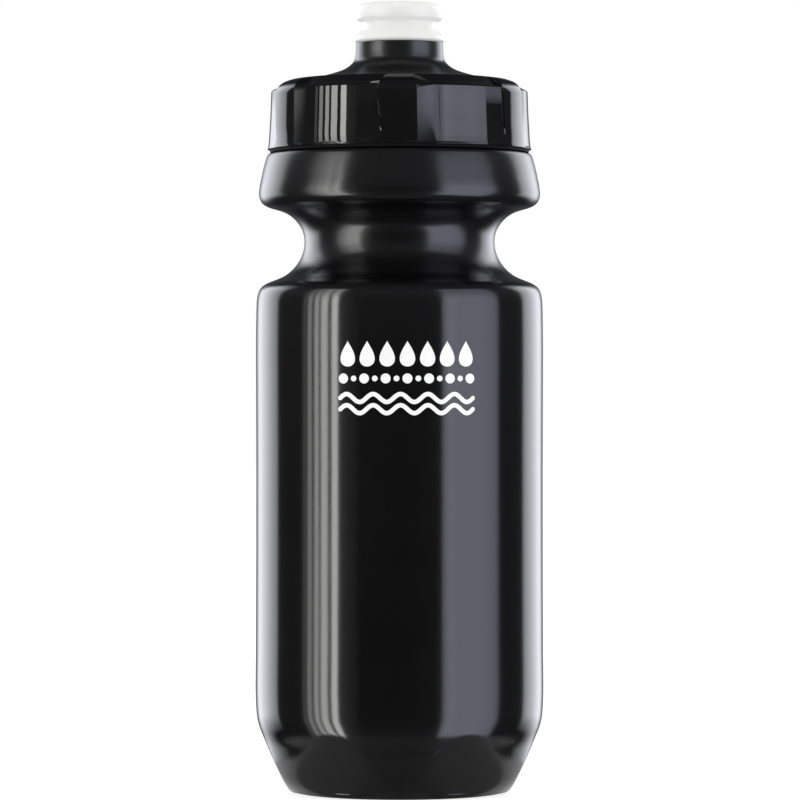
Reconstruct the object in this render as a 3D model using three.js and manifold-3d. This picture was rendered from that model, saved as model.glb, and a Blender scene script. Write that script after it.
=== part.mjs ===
// Squeeze bottle for a bicycle cage: blown bottle, screw cap with finger recesses, push-pull spout.
// Millimetres, +Z up, the front is -Y. Origin: centre of the standing ring, on the ground plane.
// Angles about Z start at the front and run towards +X. Outlines are lists of [radius, height].
import * as THREE from "three";
import { mergeVertices } from "three/addons/utils/BufferGeometryUtils.js";
import Module from "manifold-3d";

const wasm = await Module();
wasm.setup();

const { degToRad, radToDeg, lerp, mapLinear } = THREE.MathUtils;
const FULL_TURN = 2 * Math.PI;

// ---------------------------------------------------------------- driving dimensions
const BOTTLE_SEGMENTS = 36;
const CAP_SEGMENTS = 60; // 6 degrees each, so that the recesses' edges fall on vertices
const CAP_PHASE = Math.PI / CAP_SEGMENTS; // half a segment
const SPOUT_SEGMENTS = 24;

// Bottle
const BODY_R = 37.0; // 74 mm bicycle-cage diameter
const GROOVE_R = 24.46; // grip groove, where the cage tab sits
const RIDGE_R = 36.27; // ring above the groove
const WALL = 1.25; // blown wall
const BASE_RING_IN = 22.6; // flat standing ring
const BASE_RING_OUT = 26.5;
const NECK_BOTTOM = 164.2;
const NECK_TOP = 177.85;
const NECK_R = 28.9; // thread root
const NECK_BORE = 27.3;

// Inclined flats round the foot
const FACETS = 6;
const FACET_Z = 14.0; // height of the flats' arched tops
const FACET_R = 34.87; // distance of a flat from the axis at FACET_Z
const FACET_SLOPE = Math.tan(degToRad(26.5));
const FACET_WALL = WALL + 0.1;

// Thread: single-start, right-hand
const PITCH = 6.0;
const THREAD_TURNS = 1.1;
const THREAD_HEIGHT = 1.4;
const THREAD_BASE = 2.4; // width at the root
const THREAD_CREST = 1.2; // width at the crest
const THREAD_SINK = 0.45; // depth of the rib's root inside the wall
const THREAD_Z = 168.6; // centre of the neck thread where it starts
const THREAD_GAP_Z = 2.0; // cap thread runs this far under the neck thread

// Cap
const CAP_BORE = 30.9; // thread root
const CAP_BOTTOM = 165.5; // lower edge of the grip
const CAP_CEILING = 179.9;
const SKIRT_R = 33.4; // narrower skirt under the grip, which leaves a shadow line above the bottle
const SKIRT_EDGE_R = 33.1;
const SKIRT_BOTTOM = 164.7;
const TOWER_R = 11.5;
const TOWER_TOP = 193.0;
const TOWER_BORE = 9.3;
const TOWER_LIP_R = 7.75;
const TOWER_LIP_Z = 191.4; // underside of the lip

// Finger recesses round the cap. Angles are in degrees from the middle of a raised rib.
const PANELS = 6;
const RIB_HALF = 9; // the rib ends and the short wall down to the recess starts
const RECESS_FROM = 15; // foot of that wall
const RECESS_TO = 39; // the round floor ends, and a flat runs on to the next rib
const RECESS_TOP_R = 33.0; // recess under the shoulder
const RECESS_TOP_Z = 178.6;
const RECESS_FOOT_R = 33.85; // recess at the cap's edge, where it has nearly run out

// Spout
const CORE_BORE = 4.2;
const POST_R = 5.6;
const PLUG_R = 2.6;
const ORING_GROOVE_R = 4.95;
const ORING_GROOVE_BOTTOM = 188.6;
const ORING_GROOVE_TOP = 190.4;
const SLIDER_R = 7.4;
const SLIDER_BORE = 6.1;
const SEAT_R = 2.95;
const MOUTHPIECE_BORE = 7.75;
const VALVE_R = 6.2; // rim of the valve and its retaining ring

// ---------------------------------------------------------------- materials
function plastic({ color, roughness }) {
  return new THREE.MeshStandardMaterial({ color, roughness, metalness: 0 });
}

const MATERIALS = {
  bottle: plastic({ color: 0x0d0d0e, roughness: 0.28 }),
  cap: plastic({ color: 0x0a0a0b, roughness: 0.12 }),
  gasket: plastic({ color: 0xc9ccd0, roughness: 0.6 }),
  nozzle: plastic({ color: 0xececea, roughness: 0.45 }),
  rigid: plastic({ color: 0xe2e2df, roughness: 0.35 }),
  silicone: plastic({ color: 0xe6e6e2, roughness: 0.3 }),
  seal: plastic({ color: 0x2b2b2d, roughness: 0.6 }),
};

// ---------------------------------------------------------------- helpers
// Turns a closed three.js geometry into a solid, flipping its triangles if they face inwards.
function solid(geometry) {
  geometry.deleteAttribute("normal");
  geometry.deleteAttribute("uv");
  const merged = mergeVertices(geometry, 1e-4);
  const vertProperties = new Float32Array(merged.attributes.position.array);
  const triVerts = new Uint32Array(merged.index.array);
  const build = () => new wasm.Manifold(new wasm.Mesh({ numProp: 3, vertProperties, triVerts }));

  const built = build();
  if (built.volume() >= 0) return built;
  for (let i = 0; i < triVerts.length; i += 3) {
    [triVerts[i + 1], triVerts[i + 2]] = [triVerts[i + 2], triVerts[i + 1]];
  }
  return build();
}

function geometryOf(piece) {
  const mesh = piece.getMesh();
  const positions = new Float32Array(mesh.vertProperties);
  const geometry = new THREE.BufferGeometry();
  geometry.setAttribute("position", new THREE.BufferAttribute(positions, 3));
  geometry.setIndex(new THREE.BufferAttribute(new Uint32Array(mesh.triVerts), 1));
  geometry.computeVertexNormals();
  return geometry;
}

function pointAt(radius, angle, z) {
  return [radius * Math.sin(angle), -radius * Math.cos(angle), z];
}

// Revolves an outline about Z, the first segment starting at phase.
// shape(j, angle, radius, z) may move point j of the outline at that angle.
function revolve(outline, segments, { shape, phase = 0 } = {}) {
  const points = outline.map(([radius, z]) => new THREE.Vector2(radius, z));
  const geometry = new THREE.LatheGeometry(points, segments, phase);
  geometry.rotateX(Math.PI / 2);
  if (shape) {
    const position = geometry.attributes.position;
    for (let i = 0; i < position.count; i++) {
      const segment = Math.floor(i / points.length) % segments;
      const angle = phase + segment * (FULL_TURN / segments);
      const radius = Math.hypot(position.getX(i), position.getY(i));
      const shaped = shape(i % points.length, angle, radius, position.getZ(i));
      position.setXYZ(i, ...pointAt(shaped[0], angle, shaped[1]));
    }
  }
  return solid(geometry);
}

// Joins the end of an outline to its start, for a piece with a hole through the middle.
const closed = (outline) => [...outline, outline[0]];

// A helical rib with tapered ends, its root sunk a little into the wall.
// It stands out from rootR by height (negative: inwards).
function helicalRib({ rootR, height, startZ, segments, startAngle }) {
  const steps = Math.round(THREAD_TURNS * segments);
  const taperSteps = Math.round(segments / 16);
  const sunkR = rootR - Math.sign(height) * THREAD_SINK;
  const positions = [];
  for (let i = 0; i <= steps; i++) {
    const angle = startAngle + (i * FULL_TURN) / segments;
    const z = startZ + (PITCH * i) / segments;
    const fullness = Math.min(1, Math.min(i, steps - i) / taperSteps);
    const crestR = rootR + height * (0.06 + 0.94 * fullness);
    const widthScale = 0.35 + 0.65 * fullness;
    const halfCrest = (THREAD_CREST / 2) * widthScale;
    const halfBase = (THREAD_BASE / 2) * widthScale;
    const section = [
      [sunkR, -halfBase],
      [rootR, -halfBase],
      [crestR, -halfCrest],
      [crestR, halfCrest],
      [rootR, halfBase],
      [sunkR, halfBase],
    ];
    for (const [radius, rise] of section) positions.push(...pointAt(radius, angle, z + rise));
  }

  const corners = 6; // of the section
  const triangles = [];
  for (let i = 0; i < steps; i++) {
    for (let j = 0; j < corners; j++) {
      const here = i * corners + j;
      const next = i * corners + ((j + 1) % corners);
      triangles.push(here, next, here + corners, next, next + corners, here + corners);
    }
  }
  const end = steps * corners;
  for (let j = 1; j < corners - 1; j++) {
    triangles.push(0, j + 1, j);
    triangles.push(end, end + j, end + j + 1);
  }
  const geometry = new THREE.BufferGeometry();
  geometry.setAttribute("position", new THREE.Float32BufferAttribute(positions, 3));
  geometry.setIndex(triangles);
  return solid(geometry);
}

// ---------------------------------------------------------------- bottle
const bottleOuter = [
  // base and foot
  [0, 3.1], [14, 2.6], [20.6, 1.6],
  [BASE_RING_IN, 0], [BASE_RING_OUT, 0],
  [28.2, 0.35], [30.2, 1.7], [32.4, 4.3], [33.45, 7.0], [34.1, 9.6],
  [34.75, 12.6], [35.65, 15.4], [36.25, 17.2], [36.7, 19.2],
  // body
  [37.0, 23.2], [37.1, 27.4], [BODY_R, 36.5], [36.9, 88.1], [BODY_R, 113.9],
  [36.85, 125.8], [36.3, 129.0], [34.9, 130.65],
  // grip groove
  [31.6, 132.1], [28.7, 133.6], [26.3, 136.0], [24.8, 139.0], [GROOVE_R, 142.0],
  [25.0, 144.6], [26.7, 147.3], [29.5, 149.35], [33.2, 150.55],
  // ridge
  [35.2, 151.5], [RIDGE_R, 154.0], [35.9, 156.8], [34.8, 161.6], [34.1, 163.9],
  // neck
  [33.4, NECK_BOTTOM + 0.2], [30.2, NECK_BOTTOM + 0.2], [NECK_R, NECK_BOTTOM + 1.0],
  [NECK_R, NECK_TOP - 0.4], [NECK_R - 0.4, NECK_TOP],
];
const bottleInner = [
  // neck
  [NECK_BORE + 0.3, NECK_TOP], [NECK_BORE, NECK_TOP - 0.4], [NECK_BORE, 164.9],
  // ridge
  [28.2, 163.5], [32.6, 162.0], [34.75, 155.0], [34.2, 152.7],
  // grip groove
  [30.2, 151.1], [26.4, 148.9], [23.75, 145.0], [23.15, 142.0], [23.7, 138.6],
  [26.4, 134.1], [31.2, 130.8],
  // body
  [34.5, 129.2], [35.4, 126.4], [BODY_R - WALL, 118.0], [36.9 - WALL, 88.1],
  [BODY_R - WALL, 36.5], [37.1 - WALL, 27.4],
  // foot and base
  [35.35, 19.6], [33.3, 12.0], [32.1, 6.8], [29.4, 2.8], [26.6, 1.5],
  [22.4, 1.5], [20.4, 3.05], [13, 4.1], [0, 4.55],
];

// The round outline, cut by the nearest inclined flat. The front falls between two flats.
function footRadius(angle, radius, z, inset) {
  const step = FULL_TURN / FACETS;
  const fromFlatMiddle = angle - step * (Math.floor(angle / step) + 0.5);
  const flatDistance = FACET_R - (FACET_Z - z) * FACET_SLOPE - inset;
  return Math.min(radius, flatDistance / Math.cos(fromFlatMiddle));
}

function makeBottle() {
  const shape = (j, angle, radius, z) => {
    const inset = j < bottleOuter.length ? 0 : FACET_WALL;
    return [footRadius(angle, radius, z, inset), z];
  };
  const thread = helicalRib({
    rootR: NECK_R,
    height: THREAD_HEIGHT,
    startZ: THREAD_Z,
    segments: BOTTLE_SEGMENTS,
    startAngle: 0,
  });
  return revolve([...bottleOuter, ...bottleInner], BOTTLE_SEGMENTS, { shape }).add(thread);
}

// ---------------------------------------------------------------- screw cap
// [rib radius, rib height, recess radius, recess height], the last two only where they differ
const capOuter = [
  // skirt
  [SKIRT_EDGE_R, SKIRT_BOTTOM],
  [SKIRT_R, SKIRT_BOTTOM + 0.25],
  [SKIRT_R, CAP_BOTTOM],
  // grip
  [33.85, CAP_BOTTOM],
  [34.0, 165.75],
  [34.0, 166.6, RECESS_FOOT_R, 166.6],
  [33.98, 173.0, 33.26, 173.0],
  [33.95, RECESS_TOP_Z, RECESS_TOP_R, RECESS_TOP_Z],
  // shoulder
  [33.55, 180.6, 32.6, 180.5],
  [32.5, 182.0, 31.4, 181.45],
  [30.6, 182.95, 29.9, 182.3],
  // top and tower
  [28.3, 183.3], [27.9, 183.45], [25.0, 184.05], [21.2, 184.6], [17.6, 185.45],
  [14.9, 186.5], [13.0, 188.2], [12.0, 190.1], [TOWER_R, 192.2],
  [TOWER_R - 0.4, TOWER_TOP],
];
const capInner = [
  // tower
  [TOWER_LIP_R, TOWER_TOP], [TOWER_LIP_R, TOWER_LIP_Z], [TOWER_BORE, TOWER_LIP_Z],
  [TOWER_BORE, 182.2], [12.8, 182.2], [12.8, 179.6], [14.6, 179.6],
  // underside of the top, with a ring that hangs inside the neck
  [14.9, 182.9], [20.0, 182.6], [25.4, 181.2], [25.6, 176.6], [26.3, 176.3],
  [26.9, 176.8], [26.9, CAP_CEILING],
  // threaded bore and skirt
  [CAP_BORE, CAP_CEILING], [CAP_BORE, 166.1], [31.8, SKIRT_BOTTOM + 0.3],
  [32.1, SKIRT_BOTTOM],
];

// Each recess has a steep wall on one side, a floor that is round about the axis,
// and a flat that runs out to the next rib. The small tolerances keep edge vertices on their side.
function gripRadius(angle, ribR, floorR) {
  const fromRibStart = (radToDeg(angle) + RIB_HALF + 1e-6) % (360 / PANELS);
  const offset = fromRibStart - RIB_HALF;
  if (offset <= RIB_HALF + 0.01) return ribR;
  if (offset < RECESS_FROM) {
    return lerp(ribR, floorR, (offset - RIB_HALF) / (RECESS_FROM - RIB_HALF));
  }
  if (offset <= RECESS_TO + 0.01) return floorR;
  return Math.min(ribR, floorR / Math.cos(degToRad(offset - RECESS_TO)));
}

function capShape(j, angle, ribR, ribZ) {
  const [, , floorR, floorZ] = capOuter[j] ?? [];
  if (floorR === undefined) return [ribR, ribZ];
  const radius = gripRadius(angle, ribR, floorR);
  return [radius, mapLinear(radius, floorR, ribR, floorZ, ribZ)];
}

function makeCap() {
  // The cap's thread runs on the neck thread's helix, a little lower.
  // It starts on a vertex of the bore.
  const startAngle = CAP_PHASE + 3 * (FULL_TURN / CAP_SEGMENTS);
  const thread = helicalRib({
    rootR: CAP_BORE,
    height: -THREAD_HEIGHT,
    startZ: THREAD_Z - THREAD_GAP_Z + (PITCH * startAngle) / FULL_TURN,
    segments: CAP_SEGMENTS,
    startAngle,
  });
  const outline = closed([...capOuter, ...capInner]);
  return revolve(outline, CAP_SEGMENTS, { shape: capShape, phase: CAP_PHASE }).add(thread);
}

// ---------------------------------------------------------------- cap seal
const gasketOutline = [[27.25, 178.15], [30.5, 178.15], [30.5, 179.6], [27.25, 179.6]];

// ---------------------------------------------------------------- spout core
const coreOutline = [
  // flange
  [CORE_BORE, 179.9], [12.45, 179.9], [12.45, 181.9], [7.0, 181.9],
  // post with the o-ring groove
  [POST_R, 182.6], [POST_R, ORING_GROOVE_BOTTOM],
  [ORING_GROOVE_R, ORING_GROOVE_BOTTOM], [ORING_GROOVE_R, ORING_GROOVE_TOP],
  [POST_R, ORING_GROOVE_TOP], [POST_R, 195.4], [5.0, 196.0],
  // closing plug
  [PLUG_R, 196.0], [PLUG_R, 198.2], [2.1, 198.7], [0, 198.8],
  // bore
  [0, 194.6], [CORE_BORE, 194.6],
];
// Flow holes through the post's top, round the plug
const FLOW_HOLE = { count: 4, radius: 0.7, length: 4, segments: 10, fromAxis: 3.4, z: 195.3 };

function makeCore() {
  const { count, radius, length, segments, fromAxis, z } = FLOW_HOLE;
  let core = revolve(closed(coreOutline), SPOUT_SEGMENTS);
  for (let i = 0; i < count; i++) {
    const hole = new THREE.CylinderGeometry(radius, radius, length, segments);
    hole.rotateX(Math.PI / 2);
    hole.translate(...pointAt(fromAxis, ((i + 0.5) * FULL_TURN) / count, z));
    core = core.subtract(solid(hole));
  }
  return core;
}

// ---------------------------------------------------------------- spout o-ring
const ORING = {
  radius: 5.45, // of the section's centre
  z: (ORING_GROOVE_BOTTOM + ORING_GROOVE_TOP) / 2,
  halfWidth: 0.42,
  halfHeight: 0.6,
  sides: 8,
};

function makeOring() {
  const section = [];
  for (let i = 0; i < ORING.sides; i++) {
    const angle = ((i + 0.5) * FULL_TURN) / ORING.sides;
    section.push([
      ORING.radius + ORING.halfWidth * Math.cos(angle),
      ORING.z + ORING.halfHeight * Math.sin(angle),
    ]);
  }
  return revolve(closed(section), SPOUT_SEGMENTS);
}

// ---------------------------------------------------------------- nozzle slider
const sliderOutline = [
  // outside
  [SLIDER_BORE + 0.3, 183.4], [8.3, 183.4], [8.7, 183.9], [8.7, 184.7],
  [SLIDER_R, 185.2], [SLIDER_R, 194.9], [7.9, 195.3], [SLIDER_R, 196.3], [SLIDER_R, 200.8],
  // valve pocket, seat for the plug, and bore
  [6.5, 200.8], [6.5, 198.2], [SEAT_R, 198.2], [SEAT_R, 197.0],
  [SLIDER_BORE, 197.0], [SLIDER_BORE, 183.8],
];

// ---------------------------------------------------------------- soft mouthpiece
const mouthpieceOutline = [
  // flared foot and waist
  [MOUTHPIECE_BORE, 193.35], [11.35, 193.35], [11.67, 193.9], [11.45, 194.5],
  [10.76, 195.35], [10.0, 196.1], [9.6, 197.1], [9.39, 198.0],
  // bulged lip
  [9.7, 198.5], [10.6, 198.75], [11.15, 199.4], [11.27, 200.6], [11.15, 201.7],
  [10.7, 202.6], [9.9, 203.15], [8.6, 203.38], [6.4, 203.38], [5.5, 202.9],
  [5.2, 201.9], [5.4, 201.15],
  // bore, with a groove over the slider's bead
  [MOUTHPIECE_BORE, 201.15], [MOUTHPIECE_BORE, 196.5], [8.25, 195.3],
  [MOUTHPIECE_BORE, 194.6],
];

// ---------------------------------------------------------------- slit valve and retaining ring
const valveOutline = [
  // underside
  [0, 200.1], [1.8, 199.9], [3.2, 199.35], [4.0, 198.5], [VALVE_R, 198.5],
  // upper side
  [VALVE_R, 199.4], [4.75, 199.4], [4.3, 199.95], [3.4, 200.5], [1.9, 200.85], [0, 200.95],
];
const retainerOutline = [
  [5.0, 199.7], [VALVE_R, 199.7], [VALVE_R, 200.8], [5.2, 200.8], [5.0, 200.6],
];
const SLIT = { length: 4.4, width: 0.3, depth: 6, z: 200 };

// A domed disc cut by two crossed slits.
function makeValve() {
  let valve = revolve(valveOutline, SPOUT_SEGMENTS);
  for (const turn of [45, 135]) {
    const slit = new THREE.BoxGeometry(SLIT.length, SLIT.width, SLIT.depth);
    slit.rotateZ(degToRad(turn));
    slit.translate(0, 0, SLIT.z);
    valve = valve.subtract(solid(slit));
  }
  return valve;
}

// ---------------------------------------------------------------- assembly
const squeezeBottle = new THREE.Group();
squeezeBottle.name = "squeeze_bottle";

function add(name, piece, material) {
  const mesh = new THREE.Mesh(geometryOf(piece), material);
  mesh.name = name;
  squeezeBottle.add(mesh);
}

add("bottle_body", makeBottle(), MATERIALS.bottle);
add("screw_cap", makeCap(), MATERIALS.cap);
add("cap_gasket", revolve(closed(gasketOutline), BOTTLE_SEGMENTS), MATERIALS.gasket);
add("spout_core", makeCore(), MATERIALS.rigid);
add("spout_oring", makeOring(), MATERIALS.seal);
add("nozzle_slider", revolve(closed(sliderOutline), SPOUT_SEGMENTS), MATERIALS.rigid);
add("mouthpiece", revolve(closed(mouthpieceOutline), SPOUT_SEGMENTS), MATERIALS.nozzle);
add("slit_valve", makeValve(), MATERIALS.silicone);
add("valve_retainer", revolve(closed(retainerOutline), SPOUT_SEGMENTS), MATERIALS.rigid);

export default squeezeBottle;
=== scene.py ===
"""A black sports bottle with a screw cap and a push-pull drinking spout.

The bottle stands upright on z = 0 with its axis on Z. Its front, with the print, faces -Y,
where the camera is, and +X is to the camera's right. Angles round the axis run from the front
(-Y) towards +X. Meshes are drawn in millimetres; the stage, materials and lights use metres.
"""

import math

import bmesh
import bpy
import numpy as np
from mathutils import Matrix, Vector


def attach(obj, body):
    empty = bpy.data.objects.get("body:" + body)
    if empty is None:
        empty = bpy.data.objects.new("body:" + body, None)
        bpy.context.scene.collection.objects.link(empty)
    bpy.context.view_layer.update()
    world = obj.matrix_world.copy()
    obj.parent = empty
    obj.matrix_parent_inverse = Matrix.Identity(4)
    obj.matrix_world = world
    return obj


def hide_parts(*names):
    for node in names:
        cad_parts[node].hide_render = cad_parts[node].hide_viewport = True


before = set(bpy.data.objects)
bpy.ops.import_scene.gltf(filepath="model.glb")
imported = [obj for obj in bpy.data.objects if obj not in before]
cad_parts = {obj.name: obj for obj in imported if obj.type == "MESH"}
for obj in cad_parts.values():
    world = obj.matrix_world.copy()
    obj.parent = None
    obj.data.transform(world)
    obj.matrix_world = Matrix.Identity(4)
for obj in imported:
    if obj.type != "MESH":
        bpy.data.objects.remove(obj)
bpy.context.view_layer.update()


MM = 0.001
scene = bpy.context.scene


# ------------------------------------------------------------------ profile tools (mm)
def fillet(corners, step_deg=9.0):
    """Turns (r, z) or (r, z, radius) corners into a polyline with arcs of that radius."""
    line = []
    for i, (x, y, *rest) in enumerate(corners):
        radius = rest[0] if rest else 0.0
        if i in (0, len(corners) - 1) or radius <= 0:
            line.append((x, y))
            continue
        corner = np.array([x, y], float)
        back = np.array(corners[i - 1][:2], float) - corner
        ahead = np.array(corners[i + 1][:2], float) - corner
        len_back, len_ahead = np.linalg.norm(back), np.linalg.norm(ahead)
        back /= len_back
        ahead /= len_ahead
        angle = math.acos(max(-1.0, min(1.0, float(back @ ahead))))
        if angle < 1e-3 or abs(angle - math.pi) < 1e-3:
            line.append((x, y))
            continue
        # an arc takes up no more than about half of either side
        reach = min(radius / math.tan(angle / 2), len_back * 0.49, len_ahead * 0.49)
        radius = reach * math.tan(angle / 2)
        bisector = back + ahead
        bisector /= np.linalg.norm(bisector)
        centre = corner + bisector * (radius / math.sin(angle / 2))
        first = corner + back * reach - centre
        last = corner + ahead * reach - centre
        start = math.atan2(first[1], first[0])
        end = math.atan2(last[1], last[0])
        sweep = (end - start + math.pi) % (2 * math.pi) - math.pi
        steps = max(2, int(math.ceil(abs(math.degrees(sweep)) / step_deg)))
        for j in range(steps + 1):
            at = start + sweep * j / steps
            line.append((centre[0] + radius * math.cos(at), centre[1] + radius * math.sin(at)))
    clean = [line[0]]
    for x, y in line[1:]:
        if math.hypot(x - clean[-1][0], y - clean[-1][1]) > 1e-5:
            clean.append((x, y))
    return np.array(clean)


def lengths(points):
    """Distance along a polyline at each of its points."""
    return np.r_[0, np.cumsum(np.linalg.norm(np.diff(points, axis=0), axis=1))]


def resample(points, count):
    """The polyline as evenly spaced points."""
    points = np.asarray(points, float)
    along = lengths(points)
    at = np.linspace(0, along[-1], count)
    return np.stack([np.interp(at, along, points[:, 0]), np.interp(at, along, points[:, 1])], 1)


def smooth(points, sigma, step=0.1):
    """A polyline smoothed along its length; its two ends stay put."""
    points = np.array(points, float)
    even = resample(points, max(8, int(lengths(points)[-1] / step)))
    half = int(4 * sigma / step)
    kernel = np.exp(-0.5 * (np.arange(-half, half + 1) * step / sigma) ** 2)
    kernel /= kernel.sum()
    lead = 2 * even[0] - even[1 : half + 1][::-1]
    tail = 2 * even[-1] - even[-half - 1 : -1][::-1]
    longer = np.concatenate([lead, even, tail])
    return np.stack([np.convolve(longer[:, i], kernel, "valid") for i in (0, 1)], 1)


def thin(points, turn, longest, shortest=0.05):
    """Keeps a point once the line has turned by turn degrees or run on for longest."""
    points = np.asarray(points, float)
    kept = [points[0]]
    turned = run = 0.0
    for i in range(1, len(points) - 1):
        before = points[i] - points[i - 1]
        after = points[i + 1] - points[i]
        run += np.linalg.norm(before)
        cross = before[0] * after[1] - before[1] * after[0]
        turned += abs(math.degrees(math.atan2(cross, float(before @ after))))
        if (turned >= turn and run >= shortest) or run >= longest:
            kept.append(points[i])
            turned = run = 0.0
    kept.append(points[-1])
    return np.array(kept)


def dense(points, gap):
    """Splits long spans so that no span is longer than gap."""
    points = np.asarray(points, float)
    line = [points[0]]
    for a, b in zip(points[:-1], points[1:]):
        parts = max(1, int(math.ceil(np.linalg.norm(b - a) / gap)))
        for j in range(1, parts + 1):
            line.append(a + (b - a) * j / parts)
    return np.array(line)


def angles(count, extra=()):
    """Evenly spaced angles plus extra ones, given in degrees and returned in radians."""
    every = list(np.arange(count) * 360.0 / count) + [e % 360.0 for e in extra]
    every = sorted(set(round(a, 4) for a in every))
    kept = [every[0]]
    for a in every[1:]:
        if a - kept[-1] > 0.04:
            kept.append(a)
    return np.radians(np.array(kept))


def smoothstep(x, low, high):
    t = np.clip((x - low) / (high - low), 0, 1)
    return t * t * (3 - 2 * t)


def smooth_min(a, b, blend):
    share = np.clip(0.5 + 0.5 * (b - a) / blend, 0, 1)
    return b * (1 - share) + a * share - blend * share * (1 - share)


def wrap(angle, period):
    return (angle + period / 2) % period - period / 2


# ------------------------------------------------------------------ mesh tools
def place(name, data):
    obj = bpy.data.objects.new(name, data)
    scene.collection.objects.link(obj)
    return obj


def volume(verts, faces):
    fans = [(f[0], f[i], f[i + 1]) for f in faces for i in range(1, len(f) - 1)]
    a, b, c = (verts[column] for column in np.array(fans).T)
    return float(np.einsum("ij,ij->i", a, np.cross(b, c)).sum() / 6)


def mesh_of(name, verts, faces):
    """A smooth-shaded object from points in mm, its faces turned outwards."""
    verts = np.asarray(verts, float)
    if volume(verts, faces) < 0:
        faces = [tuple(reversed(f)) for f in faces]
    mesh = bpy.data.meshes.new(name)
    mesh.from_pydata([tuple(v * MM) for v in verts], [], faces)
    mesh.validate()
    mesh.update()
    for poly in mesh.polygons:
        poly.use_smooth = True
    return place(name, mesh)


def revolve(name, profile, turns, shape=None):
    """Turns an (r, z) profile about Z, with one column of points at each angle in turns.

    The profile either starts or ends on the axis or closes on itself.
    shape(angle, radius, height, row) may move the grid.
    """
    profile = np.asarray(profile, float)
    starts_on_axis, ends_on_axis = profile[0, 0] < 1e-6, profile[-1, 0] < 1e-6
    closed = not (starts_on_axis or ends_on_axis)
    if closed and np.linalg.norm(profile[0] - profile[-1]) < 1e-6:
        profile = profile[:-1]
    body = profile[int(starts_on_axis) : len(profile) - int(ends_on_axis)]
    n, m = len(turns), len(body)
    angle, row = np.meshgrid(turns, np.arange(m), indexing="ij")
    radius = np.broadcast_to(body[:, 0], (n, m)).copy()
    height = np.broadcast_to(body[:, 1], (n, m)).copy()
    if shape:
        angle, radius, height = shape(angle, radius, height, row)
    verts = np.stack([radius * np.sin(angle), -radius * np.cos(angle), height], -1).reshape(-1, 3)
    faces = []
    for i in range(n):
        i2 = (i + 1) % n
        for j in range(m if closed else m - 1):
            j2 = (j + 1) % m
            faces.append((i * m + j, i2 * m + j, i2 * m + j2, i * m + j2))
    if starts_on_axis:
        pole = len(verts)
        verts = np.vstack([verts, [0, 0, profile[0, 1]]])
        faces += [(pole, ((i + 1) % n) * m, i * m) for i in range(n)]
    if ends_on_axis:
        pole = len(verts)
        verts = np.vstack([verts, [0, 0, profile[-1, 1]]])
        faces += [(pole, i * m + m - 1, ((i + 1) % n) * m + m - 1) for i in range(n)]
    return mesh_of(name, verts, faces)


def cutter_of(shape, location, turn=0.0):
    """A cutting body from a bmesh; location is in mm."""
    mesh = bpy.data.meshes.new("cut")
    shape.to_mesh(mesh)
    shape.free()
    cutter = place("cut", mesh)
    cutter.location = [c * MM for c in location]
    cutter.rotation_euler = (0, 0, turn)
    return cutter


def cut(obj, cutters):
    bpy.context.view_layer.update()
    for cutter in cutters:
        modifier = obj.modifiers.new("cut", "BOOLEAN")
        modifier.operation = "DIFFERENCE"
        modifier.solver = "EXACT"
        modifier.object = cutter
    graph = bpy.context.evaluated_depsgraph_get()
    mesh = bpy.data.meshes.new_from_object(obj.evaluated_get(graph))
    obj.modifiers.clear()
    obj.data = mesh
    for cutter in cutters:
        bpy.data.objects.remove(cutter)
    for poly in mesh.polygons:
        poly.use_smooth = True


def sharpen(obj, degrees, also=lambda edge: False):
    """Marks edges sharp that bend by more than degrees, or that also() picks."""
    limit = math.radians(degrees)
    bm = bmesh.new()
    bm.from_mesh(obj.data)
    for edge in bm.edges:
        bent = len(edge.link_faces) == 2 and edge.calc_face_angle(0.0) > limit
        if bent or also(edge):
            edge.smooth = False
    bm.to_mesh(obj.data)
    bm.free()


def dress(obj, material, body, slot, *nodes):
    obj.data.materials.clear()
    obj.data.materials.append(material)
    for poly in obj.data.polygons:
        poly.material_index = 0
    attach(obj, body)
    if nodes:
        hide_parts(*nodes)


# ------------------------------------------------------------------ shader tools
NOISE_SPAN = (0.3, 0.7)  # the part of a noise's range that is spread over colour or roughness


def grey(level, blue=1.0):
    return (level, level, level * blue, 1)


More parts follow.
